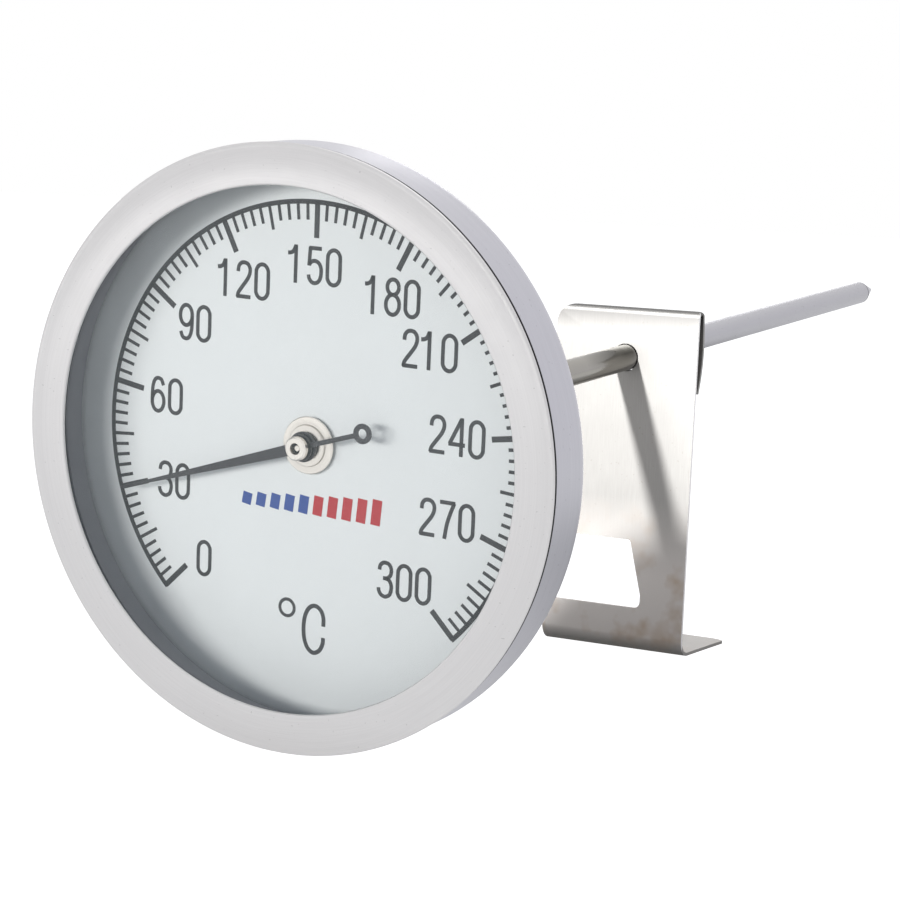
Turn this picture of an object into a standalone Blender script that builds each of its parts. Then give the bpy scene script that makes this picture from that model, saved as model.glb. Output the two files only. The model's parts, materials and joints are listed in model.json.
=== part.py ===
"""Dial thermometer with a pointed stem and a sliding pan clip, as separate pieces.

Turned pieces are drawn as (radius, depth) outlines in millimetres. Depth runs along the stem:
0 is the printed face of the dial, negative is towards the reader, positive is towards the tip.
The thermometer stands on the rim of its case and on the foot of its clip, on the plane z = 0.
"""

from math import asin, atan2, cos, degrees, hypot, pi, radians, sin

import bmesh
import bpy

MM = 0.001
GAP = 0.3                  # between pieces that touch or rest on each other

# Case, bezel and window
CASE_RADIUS = 37.4
CASE_WALL = 0.8
CASE_FRONT = -6.8
CASE_BACK = 3.3
CASE_CORNER = 4.0
BEZEL_RADIUS = 37.5
BEZEL_FRONT = -7.5
BEZEL_LIP = 0.4
BEZEL_EDGE = 0.35          # radius of the rounded outer edge
BEZEL_OPENING = 32.35
BEZEL_INNER_EDGE = 0.4     # radius of the rounded inner edge
BEZEL_PLATE = 0.5
BEZEL_SPIGOT_RADIUS = 36.3
BEZEL_SPIGOT_BORE = 35.7
BEZEL_BACK = -5.9
LENS_RADIUS = 35.4
LENS_FRONT = BEZEL_FRONT + BEZEL_PLATE + GAP
LENS_BACK = -5.0
GASKET_OPENING = 34.6
GASKET_FRONT = LENS_BACK + GAP
GASKET_BACK = -4.0
SPACER_OPENING = 34.8
SPACER_RADIUS = 36.3
SPACER_FRONT = GASKET_BACK + GAP
DIAL_RADIUS = 36.0
DIAL_THICKNESS = 0.5
DIAL_HOLE = 3.3

# Stem and what it holds
STEM_RADIUS = 2.0
STEM_BORE = 1.6
STEM_START = 1.6
TIP_START = 194.4
TIP_END = 200.7
TIP_ROUND = 0.3
TIP_SPIGOT_START = 189.0
BUSH_RADIUS = STEM_BORE - GAP
BUSH_LENGTH = 3.0
UPPER_BUSH = 20.0
LOWER_BUSH = 148.0
SPINDLE_RADIUS = 0.4
SPINDLE_BORE = SPINDLE_RADIUS + GAP
SPINDLE_FRONT = -3.0
SPINDLE_END = 156.5
SLEEVE_START = 154.0
SLEEVE_END = 158.0
HELIX_START = SLEEVE_END + GAP
HELIX_END = TIP_SPIGOT_START - GAP
HELIX_RADIUS = 0.95
HELIX_WIRE = 0.25
HELIX_TURNS = 11

# Collar that carries the case on the stem
COLLAR_RADIUS = 5.5
COLLAR_NECK = 3.0
COLLAR_BORE = STEM_RADIUS + GAP
SEAL_START = CASE_BACK + GAP
SEAL_END = SEAL_START + 0.5
COLLAR_START = SEAL_END + GAP
COLLAR_END = COLLAR_START + 2.8
NUT_FLATS = 10.0
NUT_START = DIAL_THICKNESS + GAP
NUT_END = CASE_BACK - CASE_WALL - GAP

# Pointer, which turns with the spindle
DIAL_BUSH_RADIUS = 3.6
DIAL_BUSH_STEP = 2.7
DIAL_BUSH_FRONT = -1.0
COLLAR_DISC_RADIUS = 1.9
COLLAR_DISC_FRONT = -1.9
COLLAR_DISC_BACK = DIAL_BUSH_FRONT - GAP
POINTER_BACK = COLLAR_DISC_FRONT - GAP
POINTER_THICKNESS = 0.25
POINTER_BOSS = 1.7
POINTER_REACH = 28.2
POINTER_HALF_WIDTH = 0.72
POINTER_TIP_HALF_WIDTH = 0.12
TAIL_HALF_WIDTH = 0.3
TAIL_RING_CENTRE = -9.3
TAIL_RING_RADIUS = 1.25
TAIL_RING_HOLE = 0.62
HUB_CAP_RADIUS = 1.5
HUB_CAP_FRONT = -3.55
HUB_CAP_BACK = POINTER_BACK - POINTER_THICKNESS - GAP
SCALE_START_ANGLE = -135.0     # clockwise from the top, at 0 degrees Celsius
ANGLE_PER_DEGREE = 0.9
REST_READING = 30.0

# Pan clip, folded from one strip of sheet; its origin is where the stem goes through its front face
CLIP_DEPTH = 90.7
CLIP_WIDTH = 24.0
CLIP_SHEET = 0.5
CLIP_TOP = 7.8
CLIP_FOOT = 45.6               # from the stem's centre down to the underside of the foot
CLIP_FOOT_LENGTH = 17.6
CLIP_BEND_RADIUS = 2.6
CLIP_FOLD = 1.1                # room inside the top fold
CLIP_LEG_END = -4.8
CLIP_BOW = 0.55
CLIP_RETURN = 0.75             # how far the leg's end comes back to the plate
CLIP_LEFT_CORNER = 3.0
CLIP_RIGHT_CORNER = 0.6
CLIP_FOOT_CORNER = 2.5
NOTCH_TOP = -28.2
NOTCH_BOTTOM = -38.75
NOTCH_RIGHT_TOP = 2.6
NOTCH_RIGHT_BOTTOM = 4.65
NOTCH_CORNER = 1.0

# How the thermometer stands: the rim and the foot touch the ground, so the stem rises to its tip.
DIAL_TURN = 2.4                # degrees clockwise, of the dial against the upright clip
rim_depth = BEZEL_FRONT + BEZEL_EDGE
rim_radius = BEZEL_RADIUS - BEZEL_EDGE
reach = CLIP_DEPTH - rim_depth
STEM_TILT = asin((CLIP_FOOT - BEZEL_EDGE) / hypot(reach, rim_radius)) - atan2(rim_radius, reach)
AXIS_HEIGHT = BEZEL_EDGE + rim_radius * cos(STEM_TILT) - rim_depth * sin(STEM_TILT)
FRONT_Y = rim_depth * cos(STEM_TILT) - rim_radius * sin(STEM_TILT) - BEZEL_EDGE
TIP_Y = (TIP_END - TIP_ROUND) * cos(STEM_TILT) + TIP_ROUND
AXIS_Y = -(FRONT_Y + TIP_Y) / 2

BIG_STEPS = 64
SMALL_STEPS = 24
ALONG_AXIS = (-pi / 2, 0, 0)   # turns an object's own Z to run along the stem


def clear_scene():
    for obj in list(bpy.data.objects):
        bpy.data.objects.remove(obj, do_unlink=True)


def new_collection(name):
    collection = bpy.data.collections.new(name)
    bpy.context.scene.collection.children.link(collection)
    return collection


def add_material(obj, color, roughness, metallic, alpha=1.0):
    material = bpy.data.materials.new(obj.name + "_material")
    material.use_nodes = True
    shader = material.node_tree.nodes["Principled BSDF"]
    shader.inputs["Base Color"].default_value = (*color, 1.0)
    shader.inputs["Roughness"].default_value = roughness
    shader.inputs["Metallic"].default_value = metallic
    shader.inputs["Alpha"].default_value = alpha
    obj.data.materials.append(material)


STEEL = ((0.72, 0.72, 0.73), 0.25, 1.0)
NICKEL = ((0.62, 0.61, 0.58), 0.3, 1.0)
BRASS = ((0.72, 0.56, 0.30), 0.35, 1.0)
BLACK_PAINT = ((0.02, 0.02, 0.02), 0.4, 0.0)
RUBBER = ((0.03, 0.03, 0.03), 0.7, 0.0)
WHITE_PAINT = ((0.85, 0.88, 0.88), 0.5, 0.0)
GREY_METAL = ((0.35, 0.36, 0.38), 0.4, 1.0)
BIMETAL = ((0.55, 0.50, 0.42), 0.4, 1.0)
GLASS = ((0.95, 0.97, 0.97), 0.02, 0.0, 0.35)


def add_empty(name, location, rotation, parent=None):
    empty = bpy.data.objects.new(name, None)
    empty.location = location
    empty.rotation_euler = rotation
    empty.parent = parent
    bpy.context.scene.collection.objects.link(empty)
    return empty


def arc(centre, radius, start, end, steps):
    """Points on a round corner, angles in degrees from the first axis."""
    angles = [radians(start + (end - start) * i / steps) for i in range(steps + 1)]
    return [(centre[0] + radius * cos(a), centre[1] + radius * sin(a)) for a in angles]


def turned(name, outline, finish, parent, steps=SMALL_STEPS):
    """A turned piece. The outline starts at the tip's side, runs down outside, and returns inside.

    An outline with both ends on the axis is a solid piece, and any other is closed into a ring.
    """
    mesh = bpy.data.meshes.new(name)
    points = [(r * MM, 0, depth * MM) for r, depth in outline]
    edges = [(i, i + 1) for i in range(len(points) - 1)]
    if outline[0][0] > 0:
        edges.append((len(points) - 1, 0))
    mesh.from_pydata(points, edges, [])
    obj = bpy.data.objects.new(name, mesh)
    obj.rotation_euler = ALONG_AXIS
    obj.parent = parent
    parts.objects.link(obj)
    screw = obj.modifiers.new("Turned", "SCREW")
    screw.axis = "Z"
    screw.steps = steps
    screw.render_steps = steps
    screw.use_merge_vertices = True
    screw.merge_threshold = 1e-6
    add_material(obj, *finish)
    return obj


def tube(inner, outer, start, end):
    return [(outer, end), (outer, start), (inner, start), (inner, end)]


def mesh_from_outlines(name, outlines, half_depth):
    """A flat plate from closed outlines in millimetres, the holes included, as a welded mesh."""
    curve = bpy.data.curves.new(name + "_outline", "CURVE")
    curve.dimensions = "2D"
    curve.fill_mode = "BOTH"
    curve.extrude = half_depth * MM
    for outline in outlines:
        spline = curve.splines.new("POLY")
        spline.points.add(len(outline) - 1)
        for point, (u, v) in zip(spline.points, outline):
            point.co = (u * MM, v * MM, 0, 1)
        spline.use_cyclic_u = True
    guide = bpy.data.objects.new(name + "_outline", curve)
    bpy.context.scene.collection.objects.link(guide)
    graph = bpy.context.evaluated_depsgraph_get()
    mesh = bpy.data.meshes.new_from_object(guide.evaluated_get(graph))
    bpy.data.objects.remove(guide, do_unlink=True)
    shape = bmesh.new()
    shape.from_mesh(mesh)
    bmesh.ops.remove_doubles(shape, verts=shape.verts, dist=1e-7)
    bmesh.ops.recalc_face_normals(shape, faces=shape.faces)
    shape.to_mesh(mesh)
    shape.free()
    mesh.name = name
    return mesh


def add_cutter(name, mesh, parent, location=(0, 0, 0), rotation=(0, 0, 0)):
    cutter = bpy.data.objects.new(name, mesh)
    cutter.parent = parent
    cutter.location = location
    cutter.rotation_euler = rotation
    cutter.hide_render = True
    cutter.display_type = "WIRE"
    cutters.objects.link(cutter)
    return cutter


def boolean(obj, cutter, operation="DIFFERENCE"):
    modifier = obj.modifiers.new(cutter.name, "BOOLEAN")
    modifier.object = cutter
    modifier.operation = operation


def add_rear_case(axis):
    """A shallow pressed cup with a rounded back edge and a hole for the collar's neck."""
    inner = CASE_RADIUS - CASE_WALL
    corner_depth = CASE_BACK - CASE_CORNER
    inner_corner = CASE_CORNER - CASE_WALL
    outside = arc((CASE_RADIUS - CASE_CORNER, corner_depth), CASE_CORNER, 90, 0, 6)
    inside = arc((CASE_RADIUS - CASE_CORNER, corner_depth), inner_corner, 0, 90, 5)
    hole = COLLAR_NECK + GAP
    outline = [(hole, CASE_BACK)] + outside + [(CASE_RADIUS, CASE_FRONT), (inner, CASE_FRONT)]
    outline += inside + [(hole, CASE_BACK - CASE_WALL)]
    turned("rear_case", outline, STEEL, axis, BIG_STEPS)


def add_bezel(axis):
    """The face ring: a flat plate with a rolled lip, and a spigot inside the case round the lens."""
    lip_back = BEZEL_FRONT + BEZEL_LIP
    plate_back = BEZEL_FRONT + BEZEL_PLATE
    outer_edge = arc((BEZEL_RADIUS - BEZEL_EDGE, rim_depth), BEZEL_EDGE, 0, -90, 5)
    inner_centre = (BEZEL_OPENING + BEZEL_INNER_EDGE, BEZEL_FRONT + BEZEL_INNER_EDGE)
    inner_edge = arc(inner_centre, BEZEL_INNER_EDGE, -90, -180, 5)
    outline = [(BEZEL_SPIGOT_RADIUS, BEZEL_BACK), (BEZEL_SPIGOT_RADIUS, lip_back)]
    outline += [(BEZEL_RADIUS, lip_back)] + outer_edge + inner_edge
    outline += [(BEZEL_OPENING, plate_back), (BEZEL_SPIGOT_BORE, plate_back)]
    outline += [(BEZEL_SPIGOT_BORE, BEZEL_BACK)]
    turned("bezel_ring", outline, STEEL, axis, BIG_STEPS)


def add_window_stack(axis):
    """The glass, the rubber ring under it, the spacer behind that and the printed dial."""
    lens = [(0, LENS_BACK), (LENS_RADIUS, LENS_BACK), (LENS_RADIUS, LENS_FRONT), (0, LENS_FRONT)]
    turned("glass_lens", lens, GLASS, axis, BIG_STEPS)
    gasket = tube(GASKET_OPENING, SPACER_RADIUS, GASKET_FRONT, GASKET_BACK)
    turned("lens_gasket", gasket, RUBBER, axis, BIG_STEPS)
    spacer = tube(SPACER_OPENING, SPACER_RADIUS, SPACER_FRONT, -GAP)
    turned("spacer_ring", spacer, GREY_METAL, axis, BIG_STEPS)
    turned("dial_plate", tube(DIAL_HOLE, DIAL_RADIUS, 0, DIAL_THICKNESS), WHITE_PAINT, axis, BIG_STEPS)


def add_stem(axis):
    turned("stem_tube", tube(STEM_BORE, STEM_RADIUS, STEM_START, TIP_START - GAP), STEEL, axis)
    nose = arc((0, TIP_END - TIP_ROUND), TIP_ROUND, 90, 20, 3)
    outline = nose + [(STEM_RADIUS, TIP_START), (BUSH_RADIUS, TIP_START)]
    outline += [(BUSH_RADIUS, TIP_SPIGOT_START), (0, TIP_SPIGOT_START)]
    turned("stem_tip", outline, STEEL, axis)
    for name, start in (("upper_guide_bush", UPPER_BUSH), ("lower_guide_bush", LOWER_BUSH)):
        turned(name, tube(SPINDLE_BORE, BUSH_RADIUS, start, start + BUSH_LENGTH), BRASS, axis)


def add_collar(axis):
    """The collar screws through the case's back; a nut inside and a seal outside clamp the wall."""
    chamfer = 0.6
    outline = [
        (COLLAR_RADIUS - chamfer, COLLAR_END),
        (COLLAR_RADIUS, COLLAR_END - chamfer),
        (COLLAR_RADIUS, COLLAR_START),
        (COLLAR_NECK, COLLAR_START),
        (COLLAR_NECK, GAP),
        (COLLAR_BORE, GAP),
        (COLLAR_BORE, COLLAR_END),
    ]
    turned("stem_collar", outline, STEEL, axis)
    turned("collar_seal", tube(COLLAR_NECK + GAP, COLLAR_RADIUS - GAP, SEAL_START, SEAL_END), RUBBER, axis)
    hexagon = arc((0, 0), NUT_FLATS / 2 / cos(pi / 6), 0, 300, 5)
    hole = arc((0, 0), COLLAR_NECK + GAP, 360, 15, 23)
    nut = bpy.data.objects.new(
        "case_nut", mesh_from_outlines("case_nut", [hexagon, hole], (NUT_END - NUT_START) / 2)
    )
    nut.location = (0, (NUT_START + NUT_END) / 2 * MM, 0)
    nut.rotation_euler = ALONG_AXIS
    nut.parent = axis
    parts.objects.link(nut)
    add_material(nut, *BRASS)


def add_dial_bush(axis):
    """The nickel bush that pins the dial to the collar and guides the spindle through it."""
    spigot = COLLAR_BORE - GAP
    flange_front = -0.6
    outline = [
        (spigot, STEM_START - GAP),
        (spigot, -GAP),
        (DIAL_BUSH_RADIUS, -GAP),
        (DIAL_BUSH_RADIUS, flange_front),
        (DIAL_BUSH_STEP, flange_front),
        (DIAL_BUSH_STEP - 0.2, DIAL_BUSH_FRONT),
        (SPINDLE_BORE, DIAL_BUSH_FRONT),
        (SPINDLE_BORE, STEM_START - GAP),
    ]
    turned("dial_bush", outline, NICKEL, axis)


def pointer_outline():
    """The blade, boss, tail and ring as one outline, with the blade along the first axis."""
    blade_at_boss = degrees(asin(POINTER_HALF_WIDTH / POINTER_BOSS))
    tail_at_boss = degrees(asin(TAIL_HALF_WIDTH / POINTER_BOSS))
    tail_at_ring = degrees(asin(TAIL_HALF_WIDTH / TAIL_RING_RADIUS))
    upper_boss = arc((0, 0), POINTER_BOSS, blade_at_boss, 180 - tail_at_boss, 8)
    ring = arc((TAIL_RING_CENTRE, 0), TAIL_RING_RADIUS, tail_at_ring, 360 - tail_at_ring, 14)
    lower_boss = [(u, -v) for u, v in reversed(upper_boss)]
    tip = [(POINTER_REACH, -POINTER_TIP_HALF_WIDTH), (POINTER_REACH, POINTER_TIP_HALF_WIDTH)]
    return upper_boss + ring + lower_boss + tip


def add_pointer_group(face, axis):
    """Everything that turns with the reading: blade, collar, cap, spindle and the helix's sleeve."""
    outlines = [
        pointer_outline(),
        arc((0, 0), SPINDLE_BORE, 360, 30, 11),
        arc((TAIL_RING_CENTRE, 0), TAIL_RING_HOLE, 360, 30, 11),
    ]
    pointer = bpy.data.objects.new(
        "pointer", mesh_from_outlines("pointer", outlines, POINTER_THICKNESS / 2)
    )
    reading_angle = radians(SCALE_START_ANGLE + ANGLE_PER_DEGREE * REST_READING)
    pointer.location = (0, (POINTER_BACK - POINTER_THICKNESS / 2) * MM, 0)
    pointer.rotation_euler = (-pi / 2, reading_angle - pi / 2, 0)
    pointer.parent = face
    parts.objects.link(pointer)
    add_material(pointer, *BLACK_PAINT)
    collar = tube(SPINDLE_BORE, COLLAR_DISC_RADIUS, COLLAR_DISC_FRONT, COLLAR_DISC_BACK)
    turned("pointer_collar", collar, BLACK_PAINT, axis)
    cap_edge = 0.2
    cap = [
        (HUB_CAP_RADIUS, HUB_CAP_BACK),
        (HUB_CAP_RADIUS, HUB_CAP_FRONT + cap_edge),
        (HUB_CAP_RADIUS - cap_edge, HUB_CAP_FRONT),
        (SPINDLE_BORE, HUB_CAP_FRONT),
        (SPINDLE_BORE, HUB_CAP_BACK),
    ]
    turned("hub_cap", cap, NICKEL, axis)
    spindle = [
        (0, SPINDLE_END),
        (SPINDLE_RADIUS, SPINDLE_END),
        (SPINDLE_RADIUS, SPINDLE_FRONT),
        (0, SPINDLE_FRONT),
    ]
    turned("spindle", spindle, STEEL, axis, 12)
    turned("helix_sleeve", tube(SPINDLE_BORE, BUSH_RADIUS, SLEEVE_START, SLEEVE_END), BRASS, axis)


def add_bimetal_helix(axis):
    """The coiled bimetal strip that turns the spindle as it warms, drawn as a round wire."""
    points_per_turn = 10
    length = HELIX_END - HELIX_START - 2 * HELIX_WIRE
    count = HELIX_TURNS * points_per_turn
    curve = bpy.data.curves.new("bimetal_helix", "CURVE")
    curve.dimensions = "3D"
    curve.bevel_depth = HELIX_WIRE * MM
    curve.bevel_resolution = 2
    curve.use_fill_caps = True
    spline = curve.splines.new("POLY")
    spline.points.add(count)
    for i, point in enumerate(spline.points):
        angle = 2 * pi * i / points_per_turn
        depth = HELIX_START + HELIX_WIRE + length * i / count
        point.co = (HELIX_RADIUS * cos(angle) * MM, HELIX_RADIUS * sin(angle) * MM, depth * MM, 1)
    helix = bpy.data.objects.new("bimetal_helix", curve)
    helix.rotation_euler = ALONG_AXIS
    helix.parent = axis
    parts.objects.link(helix)
    add_material(helix, *BIMETAL)


def clip_path():
    """The middle line of the folded sheet, (back, up): foot, bend, plate, top fold, bowed leg."""
    half = CLIP_SHEET / 2
    fold = half + CLIP_FOLD / 2
    bend = CLIP_BEND_RADIUS - half
    path = [(CLIP_FOOT_LENGTH, half - CLIP_FOOT)]
    path += arc((CLIP_BEND_RADIUS, CLIP_BEND_RADIUS - CLIP_FOOT), bend, 270, 180, 6)
    fold_height = CLIP_TOP - half - fold
    path += arc((half + fold, fold_height), fold, 180, 0, 6)
    leg_length = fold_height - CLIP_LEG_END
    leg_steps = 10
    for i in range(1, leg_steps + 1):
        down = i / leg_steps
        bow = CLIP_BOW * sin(pi * down) - CLIP_RETURN * down ** 3
        path.append((half + 2 * fold + bow, fold_height - leg_length * down))
    return path


def thickened(path, thickness):
    """A closed outline around a middle line."""
    left, right = [], []
    for i, (u, v) in enumerate(path):
        before = path[max(i - 1, 0)]
        after = path[min(i + 1, len(path) - 1)]
        du, dv = after[0] - before[0], after[1] - before[1]
        length = hypot(du, dv)
        nu, nv = -dv / length * thickness / 2, du / length * thickness / 2
        left.append((u + nu, v + nv))
        right.append((u - nu, v - nv))
    return left + right[::-1]


def rounded_front(half_width, low, high, right, left):
    """A rectangle, seen from the front, whose two upper corners are round."""
    top = arc((half_width - right, high - right), right, 0, 90, 5)
    top += arc((left - half_width, high - left), left, 90, 180, 5)
    return [(-half_width, low), (half_width, low)] + top


def add_pan_clip(axis):
    """One strip: foot, plate with a side notch, a fold at the top and a bowed spring leg."""
    place = add_empty("clip_place", (0, AXIS_Y_AT_CLIP, CLIP_FOOT * MM), (0, 0, 0))
    outline = thickened(clip_path(), CLIP_SHEET)
    clip = bpy.data.objects.new(
        "pan_clip", mesh_from_outlines("pan_clip", [outline], CLIP_WIDTH / 2 + 2)
    )
    clip.rotation_euler = (pi / 2, 0, pi / 2)
    clip.parent = place
    parts.objects.link(clip)
    add_material(clip, *STEEL)

    half_width = CLIP_WIDTH / 2
    deep = CLIP_FOOT_LENGTH + 5
    low, high = -CLIP_FOOT - 5, CLIP_TOP + 0.002
    front = rounded_front(half_width, low, high, CLIP_RIGHT_CORNER, CLIP_LEFT_CORNER)
    front_blank = add_cutter(
        "clip_front_blank", mesh_from_outlines("clip_front_blank", [front], deep), place,
        rotation=(pi / 2, 0, 0),
    )
    boolean(clip, front_blank, "INTERSECT")
    corner = CLIP_FOOT_CORNER + 1
    plan = rounded_front(half_width + 1, -5, CLIP_FOOT_LENGTH + 0.002, corner, corner)
    foot_blank = add_cutter(
        "clip_foot_blank", mesh_from_outlines("clip_foot_blank", [plan], CLIP_FOOT + 5), place
    )
    boolean(clip, foot_blank, "INTERSECT")
    notch = [(-half_width - 5, NOTCH_TOP), (-half_width - 5, NOTCH_BOTTOM)]
    corner = (NOTCH_RIGHT_BOTTOM - NOTCH_CORNER, NOTCH_BOTTOM + NOTCH_CORNER)
    notch += arc(corner, NOTCH_CORNER, -90, 0, 4)
    notch += [(NOTCH_RIGHT_BOTTOM, NOTCH_BOTTOM + 2.1), (NOTCH_RIGHT_TOP, NOTCH_TOP)]
    notch_cutter = add_cutter(
        "clip_notch", mesh_from_outlines("clip_notch", [notch], 4), place, rotation=(pi / 2, 0, 0)
    )
    boolean(clip, notch_cutter)
    hole = arc((0, 0), STEM_RADIUS + GAP, 0, 345, 23)
    hole_cutter = add_cutter(
        "clip_hole", mesh_from_outlines("clip_hole", [hole], 8), axis,
        location=(0, CLIP_DEPTH * MM, 0), rotation=ALONG_AXIS,
    )
    boolean(clip, hole_cutter)


AXIS_Y_AT_CLIP = (AXIS_Y + CLIP_DEPTH * cos(STEM_TILT)) * MM

clear_scene()
parts = new_collection("dial_thermometer")
cutters = new_collection("cutters")
cutters.hide_render = True
stem_axis = add_empty("stem_axis", (0, AXIS_Y * MM, AXIS_HEIGHT * MM), (STEM_TILT, 0, 0))
dial_face = add_empty("dial_face", (0, 0, 0), (0, radians(DIAL_TURN), 0), stem_axis)

add_rear_case(stem_axis)
add_bezel(stem_axis)
add_window_stack(stem_axis)
add_stem(stem_axis)
add_collar(stem_axis)
add_dial_bush(stem_axis)
add_pointer_group(dial_face, stem_axis)
add_bimetal_helix(stem_axis)
add_pan_clip(stem_axis)
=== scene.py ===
# %% [markdown]
# # A dial thermometer
# A round dial in a steel case, a thin stem with a pointed end, and a folded sheet clip that
# slides on the stem. The thermometer stands on the rim of its case and on the clip's foot, so
# nothing holds it up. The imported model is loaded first. It says where each piece goes.

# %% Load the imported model
import json
from math import asin, cos, degrees, hypot, pi, radians, sin

import bmesh
import bpy
from mathutils import Matrix, Vector


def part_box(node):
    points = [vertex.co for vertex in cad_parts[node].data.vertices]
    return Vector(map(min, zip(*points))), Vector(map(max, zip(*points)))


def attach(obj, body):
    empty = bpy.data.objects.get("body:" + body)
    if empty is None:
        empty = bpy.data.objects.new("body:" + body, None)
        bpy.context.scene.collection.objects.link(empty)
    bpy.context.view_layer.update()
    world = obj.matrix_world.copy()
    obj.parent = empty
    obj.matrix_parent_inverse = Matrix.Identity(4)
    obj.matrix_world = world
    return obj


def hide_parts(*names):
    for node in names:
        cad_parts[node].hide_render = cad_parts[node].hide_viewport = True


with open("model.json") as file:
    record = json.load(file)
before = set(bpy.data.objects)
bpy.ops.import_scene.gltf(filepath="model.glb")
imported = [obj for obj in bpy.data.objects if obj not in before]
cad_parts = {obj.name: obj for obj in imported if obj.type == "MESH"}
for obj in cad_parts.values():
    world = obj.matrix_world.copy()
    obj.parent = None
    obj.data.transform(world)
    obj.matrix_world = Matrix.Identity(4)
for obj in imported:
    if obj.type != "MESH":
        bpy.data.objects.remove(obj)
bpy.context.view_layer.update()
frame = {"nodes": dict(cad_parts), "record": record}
MM = 0.001

# %% [markdown]
# ## Two sets of axes
# Everything round is drawn around the stem, so it is easiest to draw it in the stem's own axes:
# Y runs from the dial to the tip, and 0 is the printed face. The pointer's hinge lies on that
# line, so the hinge gives the place and the tilt. The dial is also turned a little clockwise
# against the clip, so what is printed on it uses a second set of axes.

# %% The stem's axes and the dial's axes
joint = {j["name"]: j for j in frame["record"]["behaviour"]["joints"]}["pointer_turn"]
dial_centre = Vector(joint["pos_m"])
stem_tilt = asin(Vector(joint["axis"]).normalized().z)
DIAL_TURN = radians(2.4)
stem_axes = Matrix.Translation(dial_centre) @ Matrix.Rotation(stem_tilt, 4, "X")
dial_axes = stem_axes @ Matrix.Rotation(DIAL_TURN, 4, "Y")
print("the stem rises", round(degrees(stem_tilt), 2), "degrees")

# %% [markdown]
# ## The camera
# A long lens stands to the right of the dial and a little above it, 30 centimetres away. Its
# place is given in the dial's axes, because the dial is what it looks at. A small roll about
# the line of sight is the last part of its turn.

# %% Place the camera
eye = Vector((0.1605, -0.2559, 0.0603))
looked_at = Vector((0.0197, 0, 0.0020))
turn = (looked_at - eye).to_track_quat("-Z", "Y").to_matrix().to_4x4()
camera = bpy.data.objects.new("camera", bpy.data.cameras.new("camera"))
camera.data.lens = 99.75
camera.data.clip_start = 0.01
camera.matrix_world = dial_axes @ Matrix.Translation(eye) @ turn @ Matrix.Rotation(radians(2.45), 4, "Z")
bpy.context.scene.collection.objects.link(camera)
bpy.context.scene.camera = camera
print("camera", [round(v, 3) for v in camera.matrix_world.translation])

# %% [markdown]
# ## Floor and light
# The floor, the room and most of the finishes are small shader trees, so the tools that join
# their nodes come first.

# %% Tools for shader nodes
def start_group(name, inputs, outputs):
    group = bpy.data.node_groups.new(name, "ShaderNodeTree")
    for label, kind, value in inputs:
        socket = group.interface.new_socket(label, in_out="INPUT", socket_type="NodeSocket" + kind)
        socket.default_value = value
    for label, kind in outputs:
        group.interface.new_socket(label, in_out="OUTPUT", socket_type="NodeSocket" + kind)
    return group, group.nodes.new("NodeGroupInput"), group.nodes.new("NodeGroupOutput")


def math_node(tree, operation, *values):
    """A Math node. A number is set on its socket, and a socket is linked to it."""
    node = tree.nodes.new("ShaderNodeMath")
    node.operation = operation
    for socket, value in zip(node.inputs, values):
        if isinstance(value, (int, float)):
            socket.default_value = value
        else:
            tree.links.new(value, socket)
    return node.outputs[0]


def noise_node(tree, vector, scale, detail=2.0, roughness=0.5):
    node = tree.nodes.new("ShaderNodeTexNoise")
    node.inputs["Scale"].default_value = scale
    node.inputs["Detail"].default_value = detail
    node.inputs["Roughness"].default_value = roughness
    tree.links.new(vector, node.inputs["Vector"])
    return node.outputs["Fac"]


def range_node(tree, value, low, high, to_low, to_high):
    node = tree.nodes.new("ShaderNodeMapRange")
    tree.links.new(value, node.inputs["Value"])
    for label, number in zip(("From Min", "From Max", "To Min", "To Max"), (low, high, to_low, to_high)):
        node.inputs[label].default_value = number
    return node.outputs["Result"]


def mix_colors(tree, factor, first, second):
    node = tree.nodes.new("ShaderNodeMix")
    node.data_type = "RGBA"
    for label, value in (("A", first), ("B", second)):
        if isinstance(value, tuple):
            node.inputs[label].default_value = (*value, 1)
        else:
            tree.links.new(value, node.inputs[label])
    tree.links.new(factor, node.inputs["Factor"])
    return node.outputs["Result"]

# %% [markdown]
# Bright steel only looks like steel when it has something to reflect. Here that is a white room
# with a darker side and a dark patch in front, where someone would stand. The floor is plain
# and pale. It glows faintly near the thermometer and more further out. This is stage light and
# not real light: the floor and the room give one brightness to the camera, another to matt
# surfaces and another to reflections, so that the ground is white and the steel still has shade.

# %% Floor
bpy.ops.mesh.primitive_plane_add(size=12, location=(0, 0, 0))
floor = bpy.context.object
floor.name = "floor"
paper = bpy.data.materials.new("floor_paper")
paper.use_nodes = True
paper_shader = paper.node_tree.nodes["Principled BSDF"]
paper_shader.inputs["Base Color"].default_value = (0.42, 0.42, 0.42, 1)
paper_shader.inputs["Roughness"].default_value = 0.9
paper_shader.inputs["Specular IOR Level"].default_value = 0.0
paper_shader.inputs["Emission Color"].default_value = (1, 1, 1, 1)
tree = paper.node_tree
away = tree.nodes.new("ShaderNodeVectorMath")
away.operation = "DISTANCE"
away.inputs[1].default_value = (0, 0.02, 0)
tree.links.new(tree.nodes.new("ShaderNodeTexCoord").outputs["Object"], away.inputs[0])
# Painted shade: the glow is fainter near the thermometer, round where it stands.
glow = range_node(tree, away.outputs["Value"], 0.04, 0.13, 0.15, 0.74)
path = tree.nodes.new("ShaderNodeLightPath")
glow = math_node(tree, "SUBTRACT", glow, math_node(tree, "MULTIPLY", path.outputs["Is Diffuse Ray"], 0.5))
glow = math_node(tree, "MAXIMUM", glow, math_node(tree, "MULTIPLY", path.outputs["Is Camera Ray"], 1.05))
tree.links.new(glow, paper_shader.inputs["Emission Strength"])
floor.data.materials.append(paper)
print("floor of", round(floor.dimensions.x, 1), "m")


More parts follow.
